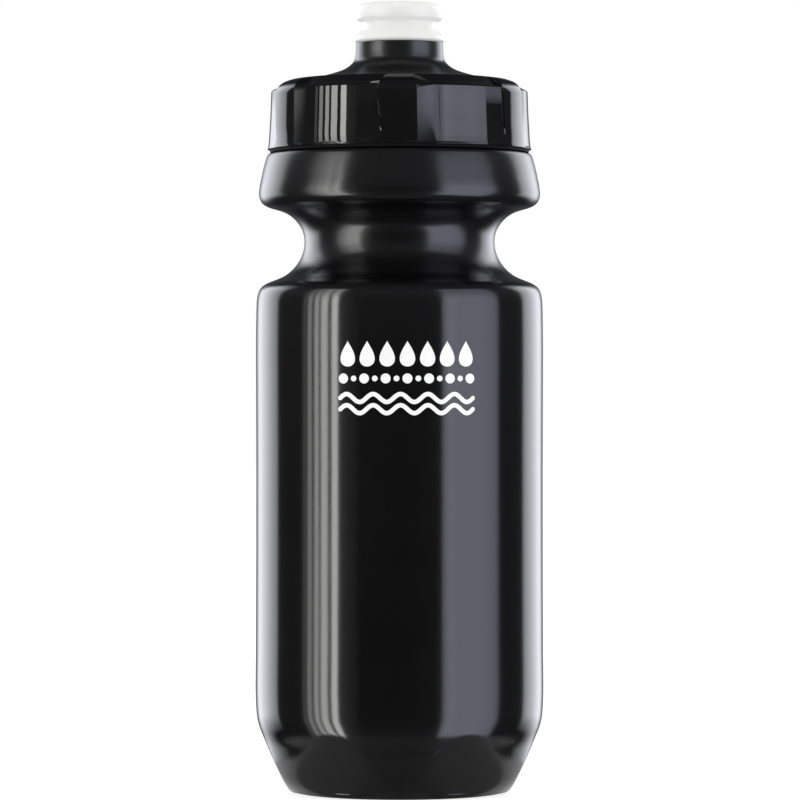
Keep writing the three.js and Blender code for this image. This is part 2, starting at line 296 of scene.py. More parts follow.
class Nodes:
    """A shader tree. Its methods return output sockets, except add, wire and bump."""

    def __init__(self, owner, empty=False):
        owner.use_nodes = True
        self.tree = owner.node_tree
        if empty:
            self.tree.nodes.clear()

    def wire(self, node, inputs):
        """Sets each input to a value, or links it where the value is a socket."""
        for key, value in inputs.items():
            if isinstance(value, bpy.types.NodeSocket):
                self.tree.links.new(value, node.inputs[key])
            else:
                node.inputs[key].default_value = value

    def add(self, kind, inputs=None, **settings):
        node = self.tree.nodes.new("ShaderNode" + kind)
        for key, value in settings.items():
            setattr(node, key, value)
        self.wire(node, inputs or {})
        return node

    def math(self, operation, *values, clamp=False):
        inputs = dict(enumerate(values))
        return self.add("Math", inputs, operation=operation, use_clamp=clamp).outputs[0]

    def mix_shader(self, factor, first, second):
        return self.add("MixShader", {0: factor, 1: first, 2: second}).outputs[0]

    def xyz(self, space="Object"):
        coords = self.add("TexCoord")
        return self.add("SeparateXYZ", {0: coords.outputs[space]}).outputs

    def axis_distance(self, place):
        squares = [self.math("MULTIPLY", place[axis], place[axis]) for axis in "XY"]
        return self.math("SQRT", self.math("ADD", *squares))

    def azimuth(self, x, y):
        """Angle in radians from -Y towards +X."""
        return self.math("ARCTAN2", x, self.math("MULTIPLY", y, -1.0))

    def degrees(self, angle):
        return self.math("MULTIPLY", angle, 180.0 / math.pi)

    def noise(self, scale, detail, roughness, stretch=(1, 1, 1)):
        coords = self.add("TexCoord").outputs["Object"]
        mapping = self.add("Mapping", {"Scale": stretch, "Vector": coords})
        inputs = {"Scale": scale, "Detail": detail, "Roughness": roughness}
        inputs["Vector"] = mapping.outputs["Vector"]
        return self.add("TexNoise", inputs).outputs["Fac"]

    def map_range(self, value, source, target=(0.0, 1.0), kind="LINEAR"):
        inputs = {"From Min": source[0], "From Max": source[1]}
        inputs.update({"To Min": target[0], "To Max": target[1], "Value": value})
        return self.add("MapRange", inputs, interpolation_type=kind).outputs["Result"]

    def ramp(self, factor, stops):
        """A colour ramp through (position, colour) stops; a plain number is a grey."""
        node = self.add("ValToRGB", {"Fac": factor})
        elements = node.color_ramp.elements
        while len(elements) > 1:
            elements.remove(elements[-1])
        for i, (position, colour) in enumerate(stops):
            element = elements.new(position) if i else elements[0]
            element.position = position
            element.color = colour if isinstance(colour, tuple) else grey(colour)
        return node.outputs["Color"]

    def mottle(self, noise, dark, light):
        return self.ramp(noise, [(NOISE_SPAN[0], dark), (NOISE_SPAN[1], light)])

    def table(self, value, stops, scale):
        """A function of a socket, straight between (value, result) stops.

        No result may exceed scale."""
        low, high = stops[0][0], stops[-1][0]
        factor = self.map_range(value, (low, high))
        shade = self.ramp(factor, [((at - low) / (high - low), v / scale) for at, v in stops])
        return self.math("MULTIPLY", shade, scale)

    def mix(self, data_type, factor, a, b):
        inputs = {"Factor": factor, "A": a, "B": b}
        return self.add("Mix", inputs, data_type=data_type).outputs["Result"]

    def bump(self, bsdf, layers):
        """layers: (height socket, distance in m, strength), the later ones on top."""
        target = {}
        for height, distance, strength in layers:
            inputs = {"Strength": strength, "Distance": distance, "Height": height, **target}
            target = {"Normal": self.add("Bump", inputs).outputs["Normal"]}
        self.wire(bsdf, target)


# ------------------------------------------------------------------ materials
def new_material(name):
    """The material with its nodes and its Principled shader."""
    material = bpy.data.materials.new(name)
    nodes = Nodes(material)
    return material, nodes, nodes.tree.nodes["Principled BSDF"]


# roughness added up the bottle: (height as a share of BLOWN_HEIGHT, roughness)
BLOWN_HEIGHT = 0.18
BLOWN_DULLING = [
    (0.0, 0.03), (0.09, 0.0), (0.70, 0.0), (0.735, 0.12), (0.84, 0.11), (0.865, 0.07),
    (0.92, 0.14), (1.0, 0.14),
]


def black_polyethylene():
    material, nodes, bsdf = new_material("black_polyethylene")
    mottling = nodes.noise(scale=60, detail=5, roughness=0.6)
    colour = nodes.mottle(mottling, grey(0.0044, blue=1.08), grey(0.0054, blue=1.10))
    haze = nodes.noise(scale=25, detail=6, roughness=0.65, stretch=(1, 1, 0.35))
    # the blown wall is glossiest where it is straight, and duller round the groove and the
    # ridge, where it was stretched less
    share = nodes.map_range(nodes.xyz()["Z"], (0.0, BLOWN_HEIGHT))
    dulling = nodes.ramp(share, BLOWN_DULLING)
    gloss = nodes.map_range(haze, NOISE_SPAN, target=(0.095, 0.14))
    roughness = nodes.math("ADD", gloss, dulling)
    nodes.wire(bsdf, {"Base Color": colour, "Roughness": roughness, "IOR": 1.5})
    peel = nodes.noise(scale=900, detail=3, roughness=0.5)
    flow = nodes.noise(scale=70, detail=2, roughness=0.4, stretch=(1, 1, 0.3))
    nodes.bump(bsdf, [(flow, 0.00003, 0.35), (peel, 0.000006, 0.5)])
    return material


POLISH_RADII = (0.0279, 0.0284)  # the cap turns from satin to polished between these
SKIRT_HEIGHTS = (0.16545, 0.16555)  # the matt skirt ends between these


def black_polypropylene():
    material, nodes, bsdf = new_material("black_polypropylene")
    mottling = nodes.noise(scale=80, detail=4, roughness=0.6)
    grip_colour = nodes.mottle(mottling, grey(0.0040, blue=1.08), grey(0.0050, blue=1.10))
    rub = nodes.noise(scale=40, detail=6, roughness=0.7)
    gloss = nodes.map_range(rub, NOISE_SPAN, target=(0.02, 0.05))
    # the dome, the tower and the inside come off a textured steel: satin. Only the grip is
    # polished.
    place = nodes.xyz()
    polished = nodes.map_range(nodes.axis_distance(place), POLISH_RADII, kind="SMOOTHSTEP")
    satin = nodes.map_range(rub, NOISE_SPAN, target=(0.27, 0.32))
    # the short walls of the recesses keep the tool's marks
    mark = nodes.add("Attribute", attribute_name="recess_wall").outputs["Fac"]
    mark_dulling = nodes.math("MULTIPLY", nodes.math("MINIMUM", mark, 1.0), 0.26)
    gloss = nodes.math("ADD", gloss, mark_dulling)
    upper_roughness = nodes.mix("FLOAT", polished, satin, gloss)
    satin_colour = nodes.mottle(mottling, grey(0.0066, blue=1.06), grey(0.0082, blue=1.06))
    colour = nodes.mix("RGBA", polished, satin_colour, grip_colour)
    # the narrow skirt under the grip is spark-eroded: matt
    above_skirt = nodes.map_range(place["Z"], SKIRT_HEIGHTS)
    matt = 0.75
    roughness = nodes.mix("FLOAT", above_skirt, matt, upper_roughness)
    specular = nodes.map_range(above_skirt, (0.0, 1.0), target=(0.1, 0.5))
    # marks above 1, on the shoulder of a rib, also lose most of their reflection
    loss = nodes.math("MULTIPLY", nodes.math("SUBTRACT", mark, 1.0, clamp=True), 0.75)
    specular = nodes.math("MULTIPLY", specular, nodes.math("SUBTRACT", 1.0, loss))
    nodes.wire(bsdf, {"Base Color": colour, "Roughness": roughness})
    nodes.wire(bsdf, {"Specular IOR Level": specular, "IOR": 1.5})
    peel = nodes.noise(scale=1100, detail=2, roughness=0.5)
    sink = nodes.noise(scale=55, detail=1.5, roughness=0.4)
    nodes.bump(bsdf, [(sink, 0.00002, 0.18), (peel, 0.000002, 0.3)])
    return material


def plain_material(name, tone, dark, light, wear, roughness, grain, relief, extra=None):
    """Mottled colour, uneven roughness and a fine grain.

    tone, wear and grain are noises as (scale, detail, roughness), for the colour, the
    roughness range and the bump. relief is the bump's (distance in m, strength).
    extra holds further inputs of the Principled shader.
    """
    material, nodes, bsdf = new_material(name)
    nodes.wire(bsdf, {"Base Color": nodes.mottle(nodes.noise(*tone), dark, light)})
    wire_roughness = nodes.map_range(nodes.noise(*wear), NOISE_SPAN, target=roughness)
    nodes.wire(bsdf, {"Roughness": wire_roughness, **(extra or {})})
    nodes.bump(bsdf, [(nodes.noise(*grain), *relief)])
    return material


M_BOTTLE = black_polyethylene()
M_CAP = black_polypropylene()
M_ELASTOMER = plain_material(
    "white_elastomer_painted_glow",
    tone=(120, 4, 0.6), dark=(0.53, 0.53, 0.522, 1), light=(0.56, 0.56, 0.552, 1),
    wear=(300, 4, 0.6), roughness=(0.38, 0.5),
    grain=(2600, 3, 0.6), relief=(0.00001, 0.4),
    extra={
        # the emission is painted light: a faint glow standing in for light that shines through the
        # thin white sleeve
        "Emission Color": (1.0, 1.0, 0.985, 1),
        "Emission Strength": 0.31,
        "Subsurface Weight": 0.25,
        "Subsurface Radius": (1.0, 0.95, 0.9),
        "Subsurface Scale": 0.002,
    },
)
M_RIGID = plain_material(
    "white_polypropylene",
    tone=(150, 4, 0.6), dark=(0.76, 0.765, 0.76, 1), light=(0.82, 0.82, 0.81, 1),
    wear=(200, 4, 0.6), roughness=(0.22, 0.34),
    grain=(2000, 2, 0.5), relief=(0.000006, 0.4),
    extra={"Subsurface Weight": 0.1, "Subsurface Scale": 0.001},
)
M_SILICONE = plain_material(
    "milky_silicone",
    tone=(300, 4, 0.6), dark=(0.72, 0.72, 0.69, 1), light=(0.8, 0.8, 0.77, 1),
    wear=(500, 3, 0.6), roughness=(0.2, 0.35),
    grain=(2400, 2, 0.5), relief=(0.000006, 0.4),
    extra={"Subsurface Weight": 0.5, "Subsurface Scale": 0.002},
)
M_GASKET = plain_material(
    "grey_silicone",
    tone=(200, 4, 0.6), dark=(0.40, 0.41, 0.43, 1), light=(0.48, 0.49, 0.51, 1),
    wear=(400, 4, 0.6), roughness=(0.4, 0.55),
    grain=(1800, 3, 0.6), relief=(0.00001, 0.5),
)
M_ORING = plain_material(
    "black_rubber",
    tone=(300, 4, 0.6), dark=grey(0.018), light=grey(0.03),
    wear=(500, 4, 0.6), roughness=(0.4, 0.55),
    grain=(2500, 3, 0.6), relief=(0.00001, 0.5),
)
M_INK = plain_material(
    "white_ink",
    tone=(500, 5, 0.7), dark=(0.92, 0.92, 0.925, 1), light=(0.97, 0.97, 0.975, 1),
    wear=(900, 4, 0.6), roughness=(0.35, 0.5),
    grain=(3500, 2, 0.6), relief=(0.000006, 0.5),
)


# ------------------------------------------------------------------ thread, shared by neck and cap
THREAD_PITCH = 6.0
THREAD_START_Z = 168.6
THREAD_TURNS = 1.1
THREAD_DEPTH = 1.38
THREAD_CREST = 1.2  # width at the top of the rib
THREAD_BASE = 2.4  # width at its root
THREAD_RUNOUT = 1 / 16  # turns over which each end rises
THREAD_GAP = 0.16  # row spacing of the walls that carry it


def thread_depth(angle, height, start_z, start_angle):
    """How far a single-start right-hand rib stands out at each grid point."""
    best = np.zeros_like(height)
    for lap in range(0, int(THREAD_TURNS) + 2):
        turn = (angle - start_angle) / (2 * math.pi) + lap
        away = np.abs(height - (start_z + THREAD_PITCH * turn))
        end = smoothstep(np.minimum(turn, THREAD_TURNS - turn), 0, THREAD_RUNOUT)
        rib = 1 - smoothstep(away, THREAD_CREST / 2 - 0.15, THREAD_BASE / 2 + 0.05)
        on_rib = (turn >= 0) & (turn <= THREAD_TURNS)
        best = np.maximum(best, np.where(on_rib, rib * end, 0))
    return THREAD_DEPTH * best


# ------------------------------------------------------------------ bottle
NECK_TOP = 177.85
NECK_R = 28.9
NECK_BORE_R = 27.3
FACETS = 6  # flats round the foot
FACET_Z = 14.0
FACET_R = 34.87  # distance of a flat from the axis at FACET_Z
FACET_SLOPE = math.tan(math.radians(26.5))
FACET_WALL = 1.35  # inset of the flats on the inside
FACET_BLEND = 0.32  # softness of the flats' edges
FOOT_TOP, FOOT_INNER_R = 20, 27.5  # the flats act below and outside these
PARTING_HEIGHT, PARTING_WIDTH = 0.07, 0.16

# outside wall from the standing ring to the shoulder: r, z
wall_points = [
    (28.2, 0.35), (28.9, 0.8), (30.2, 1.7), (31.4, 2.9), (32.4, 4.3), (33.0, 5.6),
    (33.45, 7.0), (33.8, 8.3), (34.1, 9.6), (34.43, 11.1), (34.75, 12.6), (35.15, 14.0),
    (35.62, 15.3), (35.98, 16.3), (36.28, 17.3), (36.54, 18.4), (36.74, 19.4), (36.86, 20.5),
    (36.95, 21.8), (37.03, 23.6), (37.08, 25.4), (37.1, 27.4), (37.07, 31.5), (37.0, 36.5),
    (36.93, 62.0), (36.92, 88.1), (37.0, 113.9), (36.97, 119.0), (36.9, 124.2), (36.8, 126.6),
    (36.62, 127.9), (36.4, 128.8), (36.0, 129.6), (35.4, 130.3), (34.47, 130.9),
    (33.5, 131.35), (32.1, 131.85), (30.75, 132.4), (29.62, 132.95), (28.84, 133.5),
    (28.05, 134.1), (27.14, 135.0), (26.35, 136.0), (25.7, 137.05), (25.2, 138.1),
    (24.82, 139.15), (24.58, 140.2), (24.46, 141.6), (24.5, 142.6), (24.62, 143.5),
    (24.88, 144.4), (25.3, 145.35), (25.95, 146.4), (26.8, 147.4), (27.8, 148.3),
    (28.6, 148.85), (29.7, 149.4), (31.1, 149.9), (33.0, 150.4), (34.2, 150.8), (35.1, 151.4),
    (35.75, 152.1), (36.1, 152.9), (36.27, 153.8), (36.25, 154.6), (36.04, 156.2),
    (35.7, 157.8), (35.25, 160.0), (34.85, 161.6), (34.5, 162.9), (34.15, 163.9),
]
# the pushed-up foot, the shoulder and the neck's rim: r, z, corner radius
foot_points = [
    (0, 3.1), (9, 2.9, 30), (15.0, 2.35, 20), (20.4, 1.75, 2.2), (22.0, 0.15, 1.0),
    (23.0, 0.0, 0.6), (26.5, 0.0, 1.2), (28.2, 0.35),
]
shoulder_points = [
    (34.15, 163.9), (33.7, 164.4, 0.45), (29.6, 164.4, 0.6), (NECK_R, 165.2, 0.5),
    (NECK_R, 165.6),
]
rim_points = [(NECK_R, 177.0), (NECK_R, NECK_TOP, 0.5), (28.0, NECK_TOP)]
# inside, from the rim down to the middle of the floor: r, z, corner radius
inside_points = [
    (28.0, NECK_TOP), (NECK_BORE_R, NECK_TOP, 0.45), (NECK_BORE_R, 164.9, 1.5),
    (32.8, 162.6, 2.5), (34.75, 155.0, 6), (34.2, 152.1, 2.0), (27.0, 149.3, 5),
    (23.15, 143.5, 6), (23.2, 140.0, 6), (26.4, 133.9, 6), (34.2, 129.9, 3),
    (35.7, 126.4, 4), (35.72, 88.0), (35.8, 26.0, 20), (35.0, 18.0, 15), (33.1, 11.0, 15),
    (31.7, 5.6, 6), (27.2, 1.6, 3), (22.3, 1.55, 1.5), (20.6, 3.2, 1.5), (13.0, 4.1, 20),
    (0, 4.6),
]
OUTER = np.vstack([
    dense(fillet(foot_points), 1.0),
    thin(smooth(wall_points, 0.55), turn=1.2, longest=1.4)[1:],
    fillet(shoulder_points)[1:],
    dense([(NECK_R, 165.6), (NECK_R, 177.0)], THREAD_GAP)[1:],
    fillet(rim_points)[1:],
])
INNER = dense(fillet(inside_points), 2.4)


def bottle_shape(angle, radius, height, row):
    outside = row < len(OUTER) - 1
    # flats round the foot
    step = 2 * math.pi / FACETS
    off = wrap(angle - step / 2, step)
    inset = np.where(outside, 0.0, FACET_WALL)
    flat = (FACET_R - (FACET_Z - height) * FACET_SLOPE - inset) / np.cos(off)
    foot = (height < FOOT_TOP) & (radius > FOOT_INNER_R)
    faceted = np.where(foot, smooth_min(radius, flat, FACET_BLEND), radius)
    # on the outside the cut fades out near the standing ring
    fade = np.where(outside, smoothstep(height, 0.25, 1.6), 1.0)
    radius = np.where(foot, radius + (faceted - radius) * fade, radius)
    # neck thread
    neck = outside & (height > 165.3) & (height < 177.7) & (radius < 29.2)
    thread = thread_depth(angle, height, THREAD_START_Z, 0.0)
    radius = np.where(neck, radius + thread, radius)
    # mould parting line at +-90 degrees
    arc = np.abs(wrap(angle - math.pi / 2, math.pi)) * radius
    line = PARTING_HEIGHT * np.exp(-((arc / PARTING_WIDTH) ** 2))
    parted = outside & (radius > 24) & (height > 0.3) & (height < 164.3)
    return angle, np.where(parted, radius + line, radius), height


# finer columns across the parting line, in degrees either side of it
parting_offsets = (-0.75, -0.5, -0.36, -0.24, -0.12, 0, 0.12, 0.24, 0.36, 0.5, 0.75)
parting_angles = [side + d for side in (90, 270) for d in parting_offsets]
bottle = revolve(
    "bottle_shell", np.vstack([OUTER, INNER[1:]]), angles(288, parting_angles), bottle_shape
)
dress(bottle, M_BOTTLE, "bottle", "bottle_black", "bottle_body")

# ------------------------------------------------------------------ pinch-off weld under the foot
WELD_REACH = 16.5  # half its length, along X
WELD_STATIONS = 67


def weld_bar():
    verts = []
    for x in np.linspace(-WELD_REACH, WELD_REACH, WELD_STATIONS):
        z = float(np.interp(abs(x), OUTER[:60, 0], OUTER[:60, 1]))
        taper = float(smoothstep(WELD_REACH - abs(x), 0, 3))
        half_width = 0.45 * taper + 0.05
        depth = 0.35 * taper + 0.02
        for a in np.linspace(0, math.pi, 9):
            verts.append((x, half_width * math.cos(a), z + 0.12 - (depth + 0.12) * math.sin(a)))
        verts += [(x, -half_width, z + 0.3), (x, half_width, z + 0.3)]
    m = len(verts) // WELD_STATIONS
    faces = []
    for i in range(WELD_STATIONS - 1):
        for j in range(m):
            j2 = (j + 1) % m
            faces.append((i * m + j, i * m + j2, (i + 1) * m + j2, (i + 1) * m + j))
    faces.append(tuple(range(m)))
    faces.append(tuple((WELD_STATIONS - 1) * m + j for j in reversed(range(m))))
    return mesh_of("pinch_weld", verts, faces)


dress(weld_bar(), M_BOTTLE, "bottle", "bottle_black")

# ------------------------------------------------------------------ print on the front
# Drawn flat as (arc length from the front line, height), then wrapped round the wall.
PRINT_R = 37.0  # turns arc length into angle
PRINT_LEFT, PRINT_RIGHT = -15.8, 19.8
INK_TOP, INK_ROOT = 0.07, -0.05  # offsets from the wall
DROPS, DROP_Z, DROP_WIDTH, DROP_HEIGHT, DROP_POINTS = 7, 112.6, 4.3, 6.4, 48
DROP_CENTRE_Z = 111.6  # where the faces of a drop meet
DOTS, DOT_Z, DOT_RADII, DOT_POINTS = 13, 106.4, (1.25, 0.72), 32
WAVE_HEIGHTS, WAVE_AMPLITUDE, WAVES, WAVE_STROKE = (101.5, 98.7), 1.0, 5, 1.1
WAVE_MARGIN = 0.5
STROKE_GAP = 0.22  # spacing of points along a stroke

WALL = OUTER[(OUTER[:, 0] > 36.4) & (OUTER[:, 1] < 128)]


def stroke(points, width):
    """Pairs of edge points of a stroke of constant width with round ends."""
    points = np.array(points, float)
    mid = resample(points, max(6, int(lengths(points)[-1] / STROKE_GAP)))
    along = np.gradient(mid, axis=0)
    along /= np.linalg.norm(along, axis=1)[:, None]
    across = np.stack([-along[:, 1], along[:, 0]], 1)
    half = width / 2

    def round_end(i, way):
        pairs = []
        for k in range(1, 6):
            a = math.pi / 2 * k / 6
            out = way * along[i] * half * math.sin(a)
            side = across[i] * half * math.cos(a)
            pairs.append((mid[i] + side + out, mid[i] - side + out))
        return pairs

    sides = list(zip(mid + across * half, mid - across * half))
    return round_end(0, -1)[::-1] + sides + round_end(-1, 1)


def drop(centre):
    """A water drop: round below, pointed above."""
    outline = []
    for i in range(DROP_POINTS):
        a = 2 * math.pi * i / DROP_POINTS
        x = math.sin(a) * (math.sin(a / 2) ** 1.3)
        outline.append((centre + DROP_WIDTH * 0.62 * x, DROP_Z + DROP_HEIGHT / 2 * math.cos(a)))
    return outline, (centre, DROP_CENTRE_Z)


def dot(centre, radius):
    turns = np.linspace(0, 2 * math.pi, DOT_POINTS, endpoint=False)
    outline = [(centre + radius * math.cos(a), DOT_Z + radius * math.sin(a)) for a in turns]
    return outline, (centre, DOT_Z)


def wave(height):
    start, end = PRINT_LEFT + WAVE_MARGIN, PRINT_RIGHT - WAVE_MARGIN
    length = (end - start) / WAVES
    return [
        (u, height + WAVE_AMPLITUDE * math.sin(2 * math.pi * (u - start) / length))
        for u in np.linspace(start, end, 200)
    ]


def print_centres(count):
    return [PRINT_LEFT + (PRINT_RIGHT - PRINT_LEFT) * (i + 0.5) / count for i in range(count)]


def build_ink(name, blobs, strokes):
    verts, faces = [], []

    def put(point, offset):
        a = point[0] / PRINT_R
        r = float(np.interp(point[1], WALL[:, 1], WALL[:, 0])) + offset
        verts.append((r * math.sin(a), -r * math.cos(a), point[1]))
        return len(verts) - 1

    for outline, centre in blobs:
        outline, centre = np.array(outline, float), np.array(centre, float)
        rings = [
            [put(centre + (point - centre) * size, INK_TOP) for point in outline]
            for size in (1.0, 0.66, 0.33)
        ]
        top_mid = put(centre, INK_TOP)
        rim = [put(point, INK_ROOT) for point in outline]
        low_mid = put(centre, INK_ROOT)
        after = [(j, (j + 1) % len(outline)) for j in range(len(outline))]
        for a, b in zip(rings[:-1], rings[1:]):
            faces += [(a[j], a[j2], b[j2], b[j]) for j, j2 in after]
        for j, j2 in after:
            faces.append((rings[-1][j], rings[-1][j2], top_mid))
            faces.append((rings[0][j2], rings[0][j], rim[j], rim[j2]))
            faces.append((rim[j2], rim[j], low_mid))
    for pairs in strokes:
        top = [[put(a, INK_TOP), put(b, INK_TOP)] for a, b in pairs]
        low = [[put(a, INK_ROOT), put(b, INK_ROOT)] for a, b in pairs]
        for i in range(len(pairs) - 1):
            faces.append((top[i][0], top[i + 1][0], top[i + 1][1], top[i][1]))
            faces.append((low[i][0], low[i][1], low[i + 1][1], low[i + 1][0]))
            faces.append((top[i][0], low[i][0], low[i + 1][0], top[i + 1][0]))
            faces.append((top[i][1], top[i + 1][1], low[i + 1][1], low[i][1]))
        faces.append((top[0][0], top[0][1], low[0][1], low[0][0]))
        faces.append((top[-1][0], low[-1][0], low[-1][1], top[-1][1]))
    mesh = bpy.data.meshes.new(name)
    mesh.from_pydata([tuple(np.array(v) * MM) for v in verts], [], faces)
    bm = bmesh.new()
    bm.from_mesh(mesh)
    bmesh.ops.recalc_face_normals(bm, faces=bm.faces)
    bm.to_mesh(mesh)
    bm.free()
    mesh.update()
    return place(name, mesh)


# from the top: drops, then large and small dots in turn, then two running waves
blobs = [drop(centre) for centre in print_centres(DROPS)]
blobs += [dot(centre, DOT_RADII[i % 2]) for i, centre in enumerate(print_centres(DOTS))]
strokes = [stroke(wave(height), WAVE_STROKE) for height in WAVE_HEIGHTS]
dress(build_ink("front_print", blobs, strokes), M_INK, "bottle", None)

# ------------------------------------------------------------------ screw cap
PANELS = 6
PANEL_STEP = 360.0 / PANELS
# the sections of the rib and the flat have equal counts of points and are joined one to one
SIDE_ROWS, CORNER_ROWS = 60, 40
BORE_R = 30.9
CAP_TOP = 193.12

# r, z up the side of the grip and over its shoulder
rib_side = [(34.0, 166.1), (33.95, 171.0), (33.88, 176.0), (33.8, 179.4)]
rib_corner = [
    (33.8, 179.4), (33.7, 180.0), (33.45, 180.7), (32.95, 181.4), (32.2, 182.05),
    (31.0, 182.6), (29.8, 182.98), (28.45, 183.3),
]
flat_side = [
    (33.7, 166.1), (33.56, 167.4), (33.46, 168.9), (33.34, 171.0), (33.22, 173.0),
    (33.08, 176.0), (33.0, 178.6), (32.93, 180.3),
]
flat_corner = [
    (32.93, 180.3), (32.78, 180.58), (32.3, 180.82), (31.55, 181.22), (30.8, 181.62),
    (30.0, 182.08), (29.2, 182.55), (28.45, 182.95),
]


def grip_section(side, corner, sigma):
    corner = resample(smooth(corner, sigma), CORNER_ROWS)
    return np.vstack([resample(side, SIDE_ROWS), corner[1:]])


RIB = grip_section(rib_side, rib_corner, 0.35)
FLAT = grip_section(flat_side, flat_corner, 0.12)

# the rest of the section: r, z and, except on the tower, corner radius
lip_points = [
    (32.6, 164.7), (33.4, 164.7, 0.2), (33.4, 165.5, 0.12), (34.02, 165.5, 0.16),
    (34.02, 166.1),
]
tower_points = [
    (28.38, 183.31), (28.3, 183.33), (27.9, 183.4), (26.5, 183.56), (24.0, 183.76),
    (21.9, 184.04), (21.1, 184.18), (20.4, 184.32), (19.2, 184.6), (17.6, 185.06),
    (16.2, 185.5), (14.9, 185.98), (13.9, 186.45), (13.1, 187.0), (12.4, 187.6),
    (11.88, 188.2), (11.55, 188.9), (11.38, 189.8), (11.3, 190.8), (11.26, 192.4),
]
tower_rim_points = [(11.26, 192.4), (11.22, 193.05, 0.35), (10.9, CAP_TOP)]
cap_inside_points = [
    (10.9, CAP_TOP), (7.75, CAP_TOP, 0.3), (7.75, 191.4, 0.2), (9.3, 191.4, 0.3),
    (9.3, 182.2, 0.2), (12.8, 182.2, 0.2), (12.8, 179.6, 0.2), (14.6, 179.6, 0.4),
    (14.9, 182.9, 1.0), (20.0, 182.7, 4), (25.4, 181.2, 1.0), (25.6, 176.6, 0.3),
    (26.3, 176.3, 0.3), (26.9, 176.9, 0.3), (26.9, 179.9, 0.3), (BORE_R, 179.9, 0.4),
    (BORE_R, 178.9),
]
cap_foot_points = [
    (BORE_R, 166.4), (BORE_R, 166.1, 0.1), (31.8, 165.0, 0.1), (32.1, 164.7, 0.1),
    (32.6, 164.7),
]
lip = fillet(lip_points)
tower = thin(smooth(tower_points, 0.22, 0.06), turn=1.2, longest=0.8)
tower_rim = fillet(tower_rim_points)
CAP_PROFILE = np.vstack([
    lip,
    RIB[1:],
    tower[1:],
    tower_rim[1:],
    dense(fillet(cap_inside_points), 2.0)[1:],
    dense([(BORE_R, 178.9), (BORE_R, 166.4)], THREAD_GAP)[1:],
    fillet(cap_foot_points)[1:-1],
])
# rows of the profile: the grip is GRIP_START up to GRIP_END, the outside ends at OUTSIDE_END
GRIP_START = len(lip) - 1
GRIP_END = GRIP_START + len(RIB)
OUTSIDE_END = GRIP_END - 1 + len(tower) - 1 + len(tower_rim) - 1

# One sixth of the grip on the even grid, in degrees from the middle of a rib: a step up to the
# rib, the rib, a wall down, a round floor, and a flat that runs out to the next rib.
RIB_START, RIB_TOP, RIB_END, FLOOR_START, FLOOR_END = -10.0, -8.6, 9.5, 13.5, 41.0
SECTOR_END = RIB_START + PANEL_STEP
EDGES = np.array([RIB_START, RIB_TOP, RIB_END, FLOOR_START, FLOOR_END, SECTOR_END])
STEP_WIDTH = 0.5
# Where the last four edges really lie, in degrees: they lean on the side and close in towards
# the dome.
#   RIB_END, FLOOR_START, FLOOR_END, SECTOR_END
EDGE_AT_FOOT = np.array([7.6, 17.8, 41.0, 52.2])
EDGE_LEAN = np.array([-0.2, -0.6, 0.0, -2.2])  # change from foot to shoulder
EDGE_CLOSE = np.array([-1.6, -7.0, 1.5, 3.6])  # change over the shoulder
FLOOR_OPEN_FROM, FLOOR_OPEN = 17.5, 0.24  # degrees where the floor starts to open, mm
RIB_FALL_END, RIB_FALL = 7.5, 0.12  # degrees where the rib has fallen away, mm

CAP_THREAD_LEAD = 0.058333  # turns by which the cap's thread starts later than the neck's
CAP_THREAD_DROP = 2.0


def edges_at(row):
    along = row - GRIP_START
    side = min(max(along / (SIDE_ROWS - 1), 0), 1)
    corner = min(max((along - SIDE_ROWS + 1) / (CORNER_ROWS - 1), 0), 1)
    edges = EDGE_AT_FOOT + EDGE_LEAN * side + EDGE_CLOSE * corner
    start = edges[-1] - PANEL_STEP
    return np.array([start, start + STEP_WIDTH, *edges])


